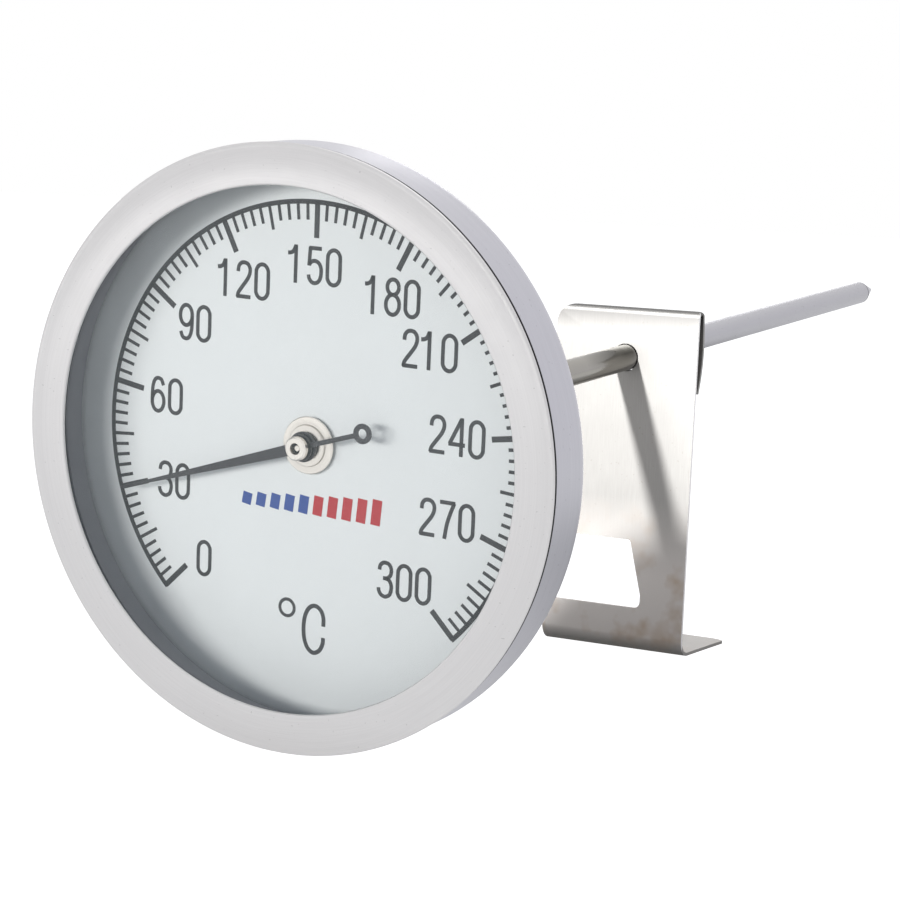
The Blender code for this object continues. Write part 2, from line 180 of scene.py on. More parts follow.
# %% The room: white, with a darker side and a dark patch in front
def facing_side(tree, place, direction):
    """1 where the room lies in that direction, and 0 on the other side."""
    node = tree.nodes.new("ShaderNodeVectorMath")
    node.operation = "DOT_PRODUCT"
    node.inputs[1].default_value = Vector(direction).normalized()
    tree.links.new(place, node.inputs[0])
    return range_node(tree, node.outputs["Value"], -1.0, 1.0, 0.0, 1.0)


room = bpy.data.worlds.new("room")
bpy.context.scene.world = room
room.use_nodes = True
tree = room.node_tree
place = tree.nodes.new("ShaderNodeTexCoord").outputs["Generated"]
dark_side = range_node(tree, facing_side(tree, place, (0.80, 0.45, -0.35)), 0.55, 1.0, 0.0, 1.0)
color = mix_colors(tree, dark_side, (0.96, 0.96, 0.97), (0.86, 0.86, 0.90))
in_front = range_node(tree, facing_side(tree, place, (0.25, -0.95, -0.2)), 0.93, 0.985, 0.0, 1.0)
color = mix_colors(tree, in_front, color, (0.30, 0.30, 0.32))
path = tree.nodes.new("ShaderNodeLightPath")
color = mix_colors(tree, path.outputs["Is Diffuse Ray"], color, (0.84, 0.90, 1.02))
color = mix_colors(tree, path.outputs["Is Camera Ray"], color, (1.0, 1.0, 1.0))
background = tree.nodes["Background"]
tree.links.new(color, background.inputs["Color"])
strength = range_node(tree, path.outputs["Is Diffuse Ray"], 0.0, 1.0, 1.0, 0.27)
tree.links.new(strength, background.inputs["Strength"])
bpy.context.scene.view_settings.view_transform = "Standard"
print("room made of", len(tree.nodes), "nodes")


# %% Soft lamps
def soft_lamp(name, place, target, size, power, color=(1, 1, 1)):
    """A soft box at place that faces target. The size is its width and height, in metres."""
    lamp = bpy.data.lights.new(name, "AREA")
    lamp.shape = "RECTANGLE"
    lamp.size, lamp.size_y = size
    lamp.energy = power
    lamp.color = color
    box = bpy.data.objects.new(name, lamp)
    box.location = place
    box.rotation_euler = (Vector(target) - Vector(place)).to_track_quat("-Z", "Y").to_euler()
    box.visible_camera = False
    bpy.context.scene.collection.objects.link(box)
    return box


key_place = stem_axes @ Vector((-0.198, -0.400, 0.055))
warm_white = (1.0, 0.99, 0.965)
key_lamp = soft_lamp("key_lamp", key_place, dial_centre, (0.32, 0.08), 1.38, warm_white)
key_lamp.visible_glossy = False
soft_lamp("top_lamp", (0.1, 0.0, 1.1), (0, 0, 0), (0.9, 0.9), 2)
soft_lamp("back_lamp", (-0.42, 0.95, 0.42), (0, 0, 0.04), (0.22, 0.22), 0.35)
print("three soft lamps")


# %% [markdown]
# ## Turning on a lathe
# Most pieces of a thermometer are turned or spun: the case, the ring, the stem, the bushes. Each
# is a half outline of (radius, depth) points in millimetres, spun round the stem's line. An
# outline with both ends on the line makes a solid piece, and any other is joined into a ring.

# %% The lathe
def bend(centre, radius, start, end, steps=6):
    """Points on a round corner, angles in degrees from the radius towards the tip."""
    angles = [radians(start + (end - start) * i / steps) for i in range(steps + 1)]
    return [(centre[0] + radius * cos(a), centre[1] + radius * sin(a)) for a in angles]


def finish_mesh(obj, material, sharp=35):
    obj.data.materials.clear()
    obj.data.materials.append(material)
    if sharp:
        obj.data.shade_smooth()
        obj.data.set_sharp_from_angle(angle=radians(sharp))
    return obj


def turned(name, outline, material, steps=160, place=stem_axes):
    shape = bmesh.new()
    corners = [shape.verts.new((r * MM, depth * MM, 0)) for r, depth in outline]
    following = corners[1:] + (corners[:1] if outline[0][0] > 0 else [])
    edges = [shape.edges.new(pair) for pair in zip(corners, following)]
    bmesh.ops.spin(
        shape, geom=corners + edges, cent=(0, 0, 0), axis=(0, 1, 0), angle=2 * pi, steps=steps
    )
    bmesh.ops.remove_doubles(shape, verts=shape.verts, dist=1e-7)
    bmesh.ops.recalc_face_normals(shape, faces=shape.faces)
    mesh = bpy.data.meshes.new(name)
    shape.to_mesh(mesh)
    shape.free()
    mesh.transform(place)
    obj = bpy.data.objects.new(name, mesh)
    bpy.context.scene.collection.objects.link(obj)
    return finish_mesh(obj, material)


def tube(inner, outer, start, end, edge=0.0):
    """A ring's outline, with its four corners taken off by edge."""
    if not edge:
        return [(outer, end), (outer, start), (inner, start), (inner, end)]
    return [
        (outer - edge, end), (outer, end - edge), (outer, start + edge), (outer - edge, start),
        (inner + edge, start), (inner, start + edge), (inner, end - edge), (inner + edge, end),
    ]


def stands_for(piece, node, body="case"):
    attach(piece, body)
    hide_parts(node)
    print(piece.name, "has", len(piece.data.polygons), "faces and rides on", body)
    return piece


# %% [markdown]
# ## Effects that several finishes share
# Three small node groups do the work in most of the finishes below. "Stem place" turns a point
# into the stem's axes in millimetres. "Grain" draws fine streaks and the bump they make.
# "Handling" gives the uneven patches and the odd speck that come with use.

# %% The group "Stem place"
stem_place, _, out = start_group(
    "Stem place", [],
    [("Place", "Vector"), ("Around", "Vector"), ("Radius", "Float"), ("Depth", "Float"), ("Height", "Float")],
)
coordinate = stem_place.nodes.new("ShaderNodeTexCoord")
into_stem = stem_place.nodes.new("ShaderNodeMapping")
into_stem.vector_type = "TEXTURE"
into_stem.inputs["Location"].default_value = dial_centre
into_stem.inputs["Rotation"].default_value = (stem_tilt, 0, 0)
into_stem.inputs["Scale"].default_value = (MM, MM, MM)
stem_place.links.new(coordinate.outputs["Object"], into_stem.inputs["Vector"])
apart = stem_place.nodes.new("ShaderNodeSeparateXYZ")
stem_place.links.new(into_stem.outputs["Vector"], apart.inputs["Vector"])
x_squared = math_node(stem_place, "MULTIPLY", apart.outputs["X"], apart.outputs["X"])
z_squared = math_node(stem_place, "MULTIPLY", apart.outputs["Z"], apart.outputs["Z"])
radius = math_node(stem_place, "SQRT", math_node(stem_place, "ADD", x_squared, z_squared))
around = stem_place.nodes.new("ShaderNodeCombineXYZ")
stem_place.links.new(radius, around.inputs["X"])
stem_place.links.new(apart.outputs["Y"], around.inputs["Y"])
stem_place.links.new(math_node(stem_place, "MULTIPLY", apart.outputs["X"], 0.02), around.inputs["Z"])
stem_place.links.new(into_stem.outputs["Vector"], out.inputs["Place"])
stem_place.links.new(around.outputs["Vector"], out.inputs["Around"])
stem_place.links.new(radius, out.inputs["Radius"])
stem_place.links.new(apart.outputs["Y"], out.inputs["Depth"])
stem_place.links.new(apart.outputs["Z"], out.inputs["Height"])
print("group", stem_place.name)

# %% The group "Grain"
grain, given, out = start_group(
    "Grain",
    [("Place", "Vector", (0, 0, 0)), ("Fineness", "Float", 8.0), ("Depth", "Float", 0.1)],
    [("Streak", "Float"), ("Normal", "Vector")],
)
finer = grain.nodes.new("ShaderNodeVectorMath")
finer.operation = "SCALE"
grain.links.new(given.outputs["Place"], finer.inputs["Vector"])
grain.links.new(given.outputs["Fineness"], finer.inputs["Scale"])
streak = noise_node(grain, finer.outputs["Vector"], 1.0, 3.0, 0.6)
raised = grain.nodes.new("ShaderNodeBump")
raised.inputs["Distance"].default_value = 0.00002
grain.links.new(given.outputs["Depth"], raised.inputs["Strength"])
grain.links.new(streak, raised.inputs["Height"])
grain.links.new(streak, out.inputs["Streak"])
grain.links.new(raised.outputs["Normal"], out.inputs["Normal"])
print("group", grain.name)

# %% The group "Handling"
handling, given, out = start_group(
    "Handling",
    [("Place", "Vector", (0, 0, 0)), ("Amount", "Float", 0.5)],
    [("Patch", "Float"), ("Speck", "Float")],
)
patch = noise_node(handling, given.outputs["Place"], 0.12, 4.0, 0.6)
patch = range_node(handling, patch, 0.35, 0.7, 0.0, 1.0)
handling.links.new(math_node(handling, "MULTIPLY", patch, given.outputs["Amount"]), out.inputs["Patch"])
speck = noise_node(handling, given.outputs["Place"], 3.1, 0.0, 0.5)
speck = range_node(handling, speck, 0.80, 0.85, 0.0, 1.0)
handling.links.new(math_node(handling, "MULTIPLY", speck, given.outputs["Amount"]), out.inputs["Speck"])
print("group", handling.name)


# %% [markdown]
# ## Finishes
# Turned metal has rings of fine marks that run round it. Sheet metal has straight grain. Both
# come from the same "Grain" group: only the stretched place that is fed to it differs. The
# colours were chosen under these lamps, so they are not measured values for the metals.

# %% Turned metal
def start_material(name):
    material = bpy.data.materials.new(name)
    material.use_nodes = True
    return material, material.node_tree, material.node_tree.nodes["Principled BSDF"]


def add_group(tree, group, **values):
    node = tree.nodes.new("ShaderNodeGroup")
    node.node_tree = group
    for label, value in values.items():
        socket = node.inputs[label.capitalize()]
        if isinstance(value, (int, float)):
            socket.default_value = value
        else:
            tree.links.new(value, socket)
    return node


def turned_metal(name, bright, dull, roughness, fineness=9.0, depth=0.15, wear=0.5, seam=None):
    """Metal with fine rings of marks, and painted shade from the first depth of seam to the second."""
    material, tree, shader = start_material(name)
    place = add_group(tree, stem_place)
    marks = add_group(tree, grain, place=place.outputs["Around"], fineness=fineness, depth=depth)
    use = add_group(tree, handling, place=place.outputs["Place"], amount=wear)
    amount = range_node(tree, marks.outputs["Streak"], 0.3, 0.7, 0.0, 1.0)
    color = mix_colors(tree, amount, bright, dull)
    color = mix_colors(tree, use.outputs["Speck"], color, tuple(0.6 * c for c in dull))
    # Painted shade: a near-black band in the seam, between the two depths of seam.
    if seam:
        seam_shade = range_node(tree, place.outputs["Depth"], *seam, 0.0, 1.0)
        color = mix_colors(tree, seam_shade, color, (0.03, 0.03, 0.032))
    tree.links.new(color, shader.inputs["Base Color"])
    rough = range_node(tree, use.outputs["Patch"], 0.0, 1.0, roughness, roughness + 0.08)
    tree.links.new(rough, shader.inputs["Roughness"])
    tree.links.new(marks.outputs["Normal"], shader.inputs["Normal"])
    shader.inputs["Metallic"].default_value = 1.0
    return material


# Painted shade: the ring's back and the case's front edge go dark inside the seam between them.
RING_SEAM_SHADE = (-7.14, -7.1)
CASE_SEAM_SHADE = (-6.5, -6.58)
ring_steel = turned_metal("ring_steel", (0.69, 0.68, 0.682), (0.65, 0.64, 0.642), 0.30, seam=RING_SEAM_SHADE)
# The case steel is a darker, bluer copy of the ring steel: painted shade on the case's side.
case_steel = turned_metal("case_steel", (0.58, 0.575, 0.615), (0.53, 0.525, 0.565), 0.36, seam=CASE_SEAM_SHADE)
nickel = turned_metal("nickel", (0.84, 0.80, 0.74), (0.76, 0.72, 0.66), 0.28)
brass = turned_metal("brass", (0.74, 0.58, 0.32), (0.66, 0.50, 0.26), 0.30)
print("turned metals made")

# %% [markdown]
# The stem is given a dark gloss next to the case, a dark smudge on its upper side in front of
# the clip and a pale satin beyond it, by the depth along the stem. The dark colour next to the
# case and the smudge are painted shade; the change of gloss is a guess. Both suit the clip's rest
# place only, and stay when it slides.

# %% Stem steel
SHADE_TO_SATIN_FROM, SHADE_TO_SATIN_TO = 88.0, 96.0
SHADE_PATCH_FROM, SHADE_PATCH_TO = 74.0, 87.0
stem_steel, tree, shader = start_material("stem_steel")
place = add_group(tree, stem_place)
marks = add_group(tree, grain, place=place.outputs["Around"], fineness=6.0, depth=0.2)
use = add_group(tree, handling, place=place.outputs["Place"], amount=0.6)
# Painted shade: the colour is darker next to the case, until the pale satin begins.
shade_to_satin = range_node(tree, place.outputs["Depth"], SHADE_TO_SATIN_FROM, SHADE_TO_SATIN_TO, 0.0, 1.0)
color = mix_colors(tree, shade_to_satin, (0.38, 0.365, 0.335), (0.51, 0.505, 0.53))
color = mix_colors(tree, use.outputs["Speck"], color, (0.26, 0.25, 0.25))
# Painted shade: a near-black patch on the stem's upper side, in front of the clip.
upper = range_node(tree, place.outputs["Height"], -0.3, 1.1, 0.0, 1.0)
along = range_node(tree, place.outputs["Depth"], SHADE_PATCH_FROM, SHADE_PATCH_TO, 0.0, 1.0)
shade_patch = math_node(tree, "MULTIPLY", along, upper)
shade_patch = math_node(tree, "MULTIPLY", shade_patch, range_node(tree, shade_to_satin, 0.2, 0.8, 1.0, 0.0))
color = mix_colors(tree, shade_patch, color, (0.06, 0.058, 0.052))
tree.links.new(color, shader.inputs["Base Color"])
rough = range_node(tree, shade_to_satin, 0.0, 1.0, 0.11, 0.42)
patchy = range_node(tree, use.outputs["Patch"], 0.0, 1.0, 0.0, 0.06)
tree.links.new(math_node(tree, "ADD", rough, patchy), shader.inputs["Roughness"])
tree.links.new(marks.outputs["Normal"], shader.inputs["Normal"])
shader.inputs["Metallic"].default_value = 1.0
print(stem_steel.name)

# %% [markdown]
# The clip is cut from rolled sheet. Its grain runs along the strip, so the place is stretched:
# fine across the strip and long along it. Low down it is lighter, which is painted light, and it
# has brown stains from heat there. Towards its top fold it is darkened by painted shade, and its
# cut edges are given a painted highlight.

# %% Clip sheet
LOW_LIGHT_UP_TO, LOW_LIGHT_GONE_AT = 12.0, 24.0
CREST_FROM, CREST_TO = 49.5, 53.2
clip_sheet, tree, shader = start_material("clip_sheet")
where = tree.nodes.new("ShaderNodeTexCoord")
strip = tree.nodes.new("ShaderNodeMapping")
strip.inputs["Scale"].default_value = (1000, 25, 25)
tree.links.new(where.outputs["Object"], strip.inputs["Vector"])
millimetres = tree.nodes.new("ShaderNodeMapping")
millimetres.inputs["Scale"].default_value = (1000, 1000, 1000)
tree.links.new(where.outputs["Object"], millimetres.inputs["Vector"])
marks = add_group(tree, grain, place=strip.outputs["Vector"], fineness=9.0, depth=0.25)
use = add_group(tree, handling, place=millimetres.outputs["Vector"], amount=0.6)
streaks = range_node(tree, marks.outputs["Streak"], 0.3, 0.7, 0.0, 1.0)
color = mix_colors(tree, streaks, (0.375, 0.366, 0.352), (0.335, 0.326, 0.312))
color = mix_colors(tree, use.outputs["Speck"], color, (0.28, 0.265, 0.24))
height = tree.nodes.new("ShaderNodeSeparateXYZ")
tree.links.new(millimetres.outputs["Vector"], height.inputs[0])
# Painted light: lighter low down, less so right by the foot. The heat stains lie only there.
painted_light_and_stains = range_node(tree, height.outputs["Z"], LOW_LIGHT_UP_TO, LOW_LIGHT_GONE_AT, 1.0, 0.0)
raised = range_node(tree, height.outputs["Z"], 0.8, 2.5, 0.3, 1.0)
painted_light_and_stains = math_node(tree, "MULTIPLY", painted_light_and_stains, raised)
color = mix_colors(tree, painted_light_and_stains, color, (0.56, 0.53, 0.505))
stain = range_node(tree, noise_node(tree, millimetres.outputs["Vector"], 0.16, 3.0, 0.6), 0.5, 0.68, 0.0, 0.7)
color = mix_colors(tree, math_node(tree, "MULTIPLY", stain, painted_light_and_stains), color, (0.40, 0.31, 0.235))
# Painted shade: darker towards the top fold.
crest_shade = range_node(tree, height.outputs["Z"], CREST_FROM, CREST_TO, 0.0, 0.9)
color = mix_colors(tree, crest_shade, color, (0.13, 0.128, 0.125))
normal = tree.nodes.new("ShaderNodeSeparateXYZ")
tree.links.new(tree.nodes.new("ShaderNodeNewGeometry").outputs["Normal"], normal.inputs[0])
depth_of_clip = tree.nodes.new("ShaderNodeSeparateXYZ")
tree.links.new(where.outputs["Object"], depth_of_clip.inputs[0])
plate_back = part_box("pan_clip")[0][1] + 0.6 * MM
# Painted highlight: a pale colour on the cut edges of the plate.
cut_edge_highlight = range_node(tree, math_node(tree, "ABSOLUTE", normal.outputs["X"]), 0.5, 0.8, 0.0, 1.0)
in_plate = math_node(tree, "LESS_THAN", depth_of_clip.outputs["Y"], plate_back)
cut_edge_highlight = math_node(tree, "MULTIPLY", cut_edge_highlight, in_plate)
color = mix_colors(tree, cut_edge_highlight, color, (0.88, 0.875, 0.87))
tree.links.new(color, shader.inputs["Base Color"])
rough = range_node(tree, use.outputs["Patch"], 0.0, 1.0, 0.50, 0.58)
tree.links.new(rough, shader.inputs["Roughness"])
tree.links.new(marks.outputs["Normal"], shader.inputs["Normal"])
shader.inputs["Metallic"].default_value = 1.0
print(clip_sheet.name)


# %% [markdown]
# Paint, ink and rubber don't shine like metal. Each is a plain colour with a little of the same
# patchiness, and a fine bump that breaks up its gloss.

# %% Paint, ink and rubber
def coated(name, color, patch_color, roughness, fineness=3.0, depth=0.1, wear=0.6):
    material, tree, shader = start_material(name)
    place = add_group(tree, stem_place)
    skin = add_group(tree, grain, place=place.outputs["Place"], fineness=fineness, depth=depth)
    use = add_group(tree, handling, place=place.outputs["Place"], amount=wear)
    mixed = mix_colors(tree, use.outputs["Patch"], color, patch_color)
    tree.links.new(mixed, shader.inputs["Base Color"])
    rough = range_node(tree, skin.outputs["Streak"], 0.3, 0.7, roughness - 0.05, roughness + 0.05)
    tree.links.new(rough, shader.inputs["Roughness"])
    tree.links.new(skin.outputs["Normal"], shader.inputs["Normal"])
    return material


dial_paint = coated("dial_paint", (0.80, 0.83, 0.835), (0.78, 0.81, 0.815), 0.45)
print_ink = coated("print_ink", (0.030, 0.031, 0.034), (0.045, 0.046, 0.05), 0.6, 8.0)
blue_ink = coated("blue_ink", (0.035, 0.08, 0.30), (0.045, 0.095, 0.33), 0.6, 8.0)
red_ink = coated("red_ink", (0.46, 0.032, 0.042), (0.50, 0.045, 0.055), 0.6, 8.0)
pointer_enamel = coated("pointer_enamel", (0.022, 0.022, 0.026), (0.035, 0.035, 0.04), 0.35, 5.0)
gasket_rubber = coated("gasket_rubber", (0.20, 0.21, 0.235), (0.23, 0.24, 0.265), 0.7, 4.0, 0.4)
spacer_paint = coated("spacer_grey", (0.33, 0.335, 0.36), (0.30, 0.305, 0.33), 0.5, 4.0, 0.2)
seal_rubber = coated("seal_rubber", (0.025, 0.025, 0.027), (0.04, 0.04, 0.042), 0.7, 4.0, 0.4)
print("coated finishes made")

# %% [markdown]
# The window is a flat glass disc. Only its thin skin of reflection matters here, so the glass is
# nearly clear: a low alpha lets the light through to the dial without any bending.

# %% Window glass
window_glass, tree, shader = start_material("window_glass")
shader.inputs["Base Color"].default_value = (0.80, 0.90, 0.93, 1)
shader.inputs["Roughness"].default_value = 0.02
place = add_group(tree, stem_place)
use = add_group(tree, handling, place=place.outputs["Place"], amount=1.0)
tree.links.new(range_node(tree, use.outputs["Patch"], 0.0, 1.0, 0.02, 0.03), shader.inputs["Alpha"])
print(window_glass.name)

# %% [markdown]
# ## The case and its ring
# The case is a shallow cup pressed from sheet. The ring in front is rolled over its edge, which
# leaves a fine seam around the outside. The seam is dark: the edges that meet in it are given a
# band of painted shade. The ring's own edges are rounded, so they catch the light.

# %% Case and ring
case_outline = [(3.3, 3.3)] + bend((33.4, -0.7), 4.0, 90, 0, 12)
case_outline += [(37.4, -6.55), (37.3, -6.65), (36.6, -6.65)]
case_outline += bend((33.4, -0.7), 3.2, 0, 90, 10) + [(3.3, 2.5)]
case = turned("case_cup", case_outline, case_steel, 192)
stands_for(case, "rear_case")

ring_outline = [(36.3, -5.9), (36.3, -7.12), (37.42, -7.12)]
ring_outline += bend((37.3, -7.2), 0.2, 30, -80, 6) + [(37.0, -7.42), (36.85, -7.42), (36.55, -7.5)]
ring_outline += bend((32.6, -7.25), 0.25, -90, -180, 6)
ring_outline += [(32.35, -7.0), (35.7, -7.0), (35.7, -5.9)]
ring = turned("face_ring", ring_outline, ring_steel, 192)
stands_for(ring, "bezel_ring")

# %% [markdown]
# ## Behind the ring
# Four flat pieces are stacked in the case: the glass, a rubber gasket that keeps water out, a
# spacer that sets the depth, and the dial itself.

# %% Glass, gasket, spacer and dial
glass_outline = [(0, -5.0), (35.3, -5.0), (35.4, -5.1), (35.4, -6.6), (35.3, -6.7), (0, -6.7)]
glass = turned("window_glass_disc", glass_outline, window_glass, 128)
stands_for(glass, "glass_lens")
gasket = turned("window_gasket", tube(34.6, 36.3, -4.7, -4.0, 0.15), gasket_rubber, 128)
stands_for(gasket, "lens_gasket")
spacer = turned("depth_spacer", tube(34.8, 36.3, -3.7, -0.3, 0.1), spacer_paint, 128)
stands_for(spacer, "spacer_ring")
dial = turned("dial_disc", tube(3.3, 36.0, 0, 0.5, 0.05), dial_paint, 160)
stands_for(dial, "dial_plate")

# %% [markdown]
# ## The scale
# The scale has 101 lines from 0 to 300, three degrees apart. Every fifth is longer, and every
# tenth is longer still and bold. A rule like this suits Geometry Nodes: one line is laid out at
# each point of a row, turned to its angle, and stretched by what its number says.

# %% Geometry Nodes tree for the scale lines
scale_tree = bpy.data.node_groups.new("Scale lines", "GeometryNodeTree")
scale_tree.interface.new_socket("Geometry", in_out="INPUT", socket_type="NodeSocketGeometry")
sizes = {}
for label, value in (
    ("Outer Radius", 30.0), ("Short Line", 2.25), ("Middle Line", 3.2), ("Long Line", 4.4),
    ("Line Width", 0.42), ("Bold Width", 0.72), ("Ink Height", 0.03),
):
    socket = scale_tree.interface.new_socket(label, in_out="INPUT", socket_type="NodeSocketFloat")
    socket.default_value = value
    sizes[label] = socket.identifier
ink_socket = scale_tree.interface.new_socket("Ink", in_out="INPUT", socket_type="NodeSocketMaterial")
scale_tree.interface.new_socket("Geometry", in_out="OUTPUT", socket_type="NodeSocketGeometry")


def geo(kind, **settings):
    node = scale_tree.nodes.new(kind)
    for name, value in settings.items():
        setattr(node, name, value)
    return node


def geo_math(operation, first, second=0.0):
    node = geo("ShaderNodeMath", operation=operation)
    for socket, value in zip(node.inputs, (first, second)):
        if isinstance(value, (int, float)):
            socket.default_value = value
        else:
            scale_tree.links.new(value, socket)
    return node.outputs[0]


def geo_switch(condition, when_false, when_true):
    node = geo("GeometryNodeSwitch", input_type="FLOAT")
    scale_tree.links.new(condition, node.inputs["Switch"])
    scale_tree.links.new(when_false, node.inputs["False"])
    scale_tree.links.new(when_true, node.inputs["True"])
    return node.outputs["Output"]


given = geo("NodeGroupInput").outputs
number = geo("GeometryNodeInputIndex").outputs["Index"]
angle = geo_math("MULTIPLY_ADD", number, 0.0)
angle.node.inputs[1].default_value = radians(2.7)
angle.node.inputs[2].default_value = radians(-135)
fifth = geo_math("LESS_THAN", geo_math("MODULO", number, 5), 0.5)
tenth = geo_math("LESS_THAN", geo_math("MODULO", number, 10), 0.5)
length = geo_switch(fifth, given["Short Line"], given["Middle Line"])
length = geo_switch(tenth, length, given["Long Line"])
width = geo_switch(tenth, given["Line Width"], given["Bold Width"])
middle = geo_math("SUBTRACT", given["Outer Radius"], geo_math("MULTIPLY", length, 0.5))

row = geo("GeometryNodeMeshLine", mode="OFFSET")
row.inputs["Count"].default_value = 101
row.inputs["Offset"].default_value = (0, 0, 0)
spot = geo("ShaderNodeCombineXYZ")
scale_tree.links.new(geo_math("MULTIPLY", geo_math("SINE", angle), middle), spot.inputs["X"])
scale_tree.links.new(geo_math("MULTIPLY", given["Ink Height"], -0.5), spot.inputs["Y"])
scale_tree.links.new(geo_math("MULTIPLY", geo_math("COSINE", angle), middle), spot.inputs["Z"])
spread = geo("GeometryNodeSetPosition")
scale_tree.links.new(row.outputs["Mesh"], spread.inputs["Geometry"])
scale_tree.links.new(spot.outputs["Vector"], spread.inputs["Position"])
line = geo("GeometryNodeMeshCube")
turned_to = geo("ShaderNodeCombineXYZ")
scale_tree.links.new(angle, turned_to.inputs["Y"])
stretched = geo("ShaderNodeCombineXYZ")
scale_tree.links.new(width, stretched.inputs["X"])
scale_tree.links.new(given["Ink Height"], stretched.inputs["Y"])
scale_tree.links.new(length, stretched.inputs["Z"])
copies = geo("GeometryNodeInstanceOnPoints")
scale_tree.links.new(spread.outputs["Geometry"], copies.inputs["Points"])
scale_tree.links.new(line.outputs["Mesh"], copies.inputs["Instance"])
scale_tree.links.new(turned_to.outputs["Vector"], copies.inputs["Rotation"])
scale_tree.links.new(stretched.outputs["Vector"], copies.inputs["Scale"])
real = geo("GeometryNodeRealizeInstances")
inked = geo("GeometryNodeSetMaterial")
scale_tree.links.new(copies.outputs["Instances"], real.inputs["Geometry"])
scale_tree.links.new(real.outputs["Geometry"], inked.inputs["Geometry"])
scale_tree.links.new(given["Ink"], inked.inputs["Material"])
scale_tree.links.new(inked.outputs["Geometry"], geo("NodeGroupOutput").inputs["Geometry"])
print("tree", scale_tree.name, "with", len(scale_tree.nodes), "nodes")


# %% Make the scale lines
def made_by_tree(name, tree, settings, place):
    """Runs a tree on an empty mesh and keeps the result as a plain mesh, with its place in it."""
    holder = bpy.data.objects.new(name, bpy.data.meshes.new(name + "_start"))
    bpy.context.scene.collection.objects.link(holder)
    modifier = holder.modifiers.new("tree", "NODES")
    modifier.node_group = tree
    for identifier, value in settings.items():
        modifier[identifier] = value
    graph = bpy.context.evaluated_depsgraph_get()
    mesh = bpy.data.meshes.new_from_object(holder.evaluated_get(graph))
    holder.modifiers.remove(modifier)
    mesh.name = name
    mesh.transform(place @ Matrix.Scale(MM, 4))
    holder.data = mesh
    return holder


scale_lines = made_by_tree("scale_lines", scale_tree, {ink_socket.identifier: print_ink}, dial_axes)
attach(scale_lines, "case")
print("scale lines:", len(scale_lines.data.polygons), "faces")


# %% [markdown]
# ## Lettering by strokes
# The figures are tall, narrow and drawn with one even stroke, as a printer's plain condensed
# figures are. Each is given by the middle line of its strokes. A smooth curve is run through
# those points and a flat ribbon of ink is laid along it.

# %% The ribbon
def smooth_line(points, steps=5):
    """A curve through all the points, which starts and ends at the first and the last."""
    if len(points) < 3:
        return [Vector(p) for p in points]
    ends = [Vector(points[0]) * 2 - Vector(points[1])], [Vector(points[-1]) * 2 - Vector(points[-2])]
    knots = ends[0] + [Vector(p) for p in points] + ends[1]
    line = []
    for a, b, c, d in zip(knots, knots[1:], knots[2:], knots[3:]):
        for i in range(steps):
            t = i / steps
            line.append(0.5 * (2 * b + (c - a) * t + (2 * a - 5 * b + 4 * c - d) * t * t
                               + (3 * b - a - 3 * c + d) * t ** 3))
    return line + [knots[-2]]


def add_ribbon(shape, line, width, height=0.03):
    """A flat band of ink with square ends, standing height proud of the dial."""
    rows = []
    for i, here in enumerate(line):
        along = (line[min(i + 1, len(line) - 1)] - line[max(i - 1, 0)]).normalized()
        aside = Vector((-along.y, along.x)) * width / 2
        sides = [here + aside, here - aside]
        rows.append([shape.verts.new((p.x, y, p.y)) for y in (0, -height) for p in sides])
    for a, b in zip(rows, rows[1:]):
        for i, j in ((0, 1), (1, 3), (3, 2), (2, 0)):
            shape.faces.new((a[i], a[j], b[j], b[i]))
    for end in (rows[0], rows[-1]):
        shape.faces.new((end[0], end[1], end[3], end[2]))


def printed(name, ribbons, material):
    shape = bmesh.new()
    for line, width in ribbons:
        add_ribbon(shape, line, width)
    bmesh.ops.recalc_face_normals(shape, faces=shape.faces)
    mesh = bpy.data.meshes.new(name)
    shape.to_mesh(mesh)
    shape.free()
    mesh.transform(dial_axes @ Matrix.Scale(MM, 4))
    mesh.materials.append(material)
    obj = bpy.data.objects.new(name, mesh)
    bpy.context.scene.collection.objects.link(obj)
    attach(obj, "case")
    print(name, "has", len(ribbons), "strokes")
    return obj


# %% Middle lines of the figures, in millimetres about the middle of each figure's foot
def loop(middle, wide, high, straight=0.0, start=0, end=360, steps=24):
    """An oval, or an oval cut in two and pulled apart by straight sides."""
    line = []
    for i in range(steps + 1):
        angle = radians(start + (end - start) * i / steps)
        rise = straight if sin(angle) > 0 else -straight
        rise = 0 if abs(sin(angle)) < 1e-6 else rise
        line.append((middle[0] + wide * cos(angle), middle[1] + high * sin(angle) + rise))
    return line


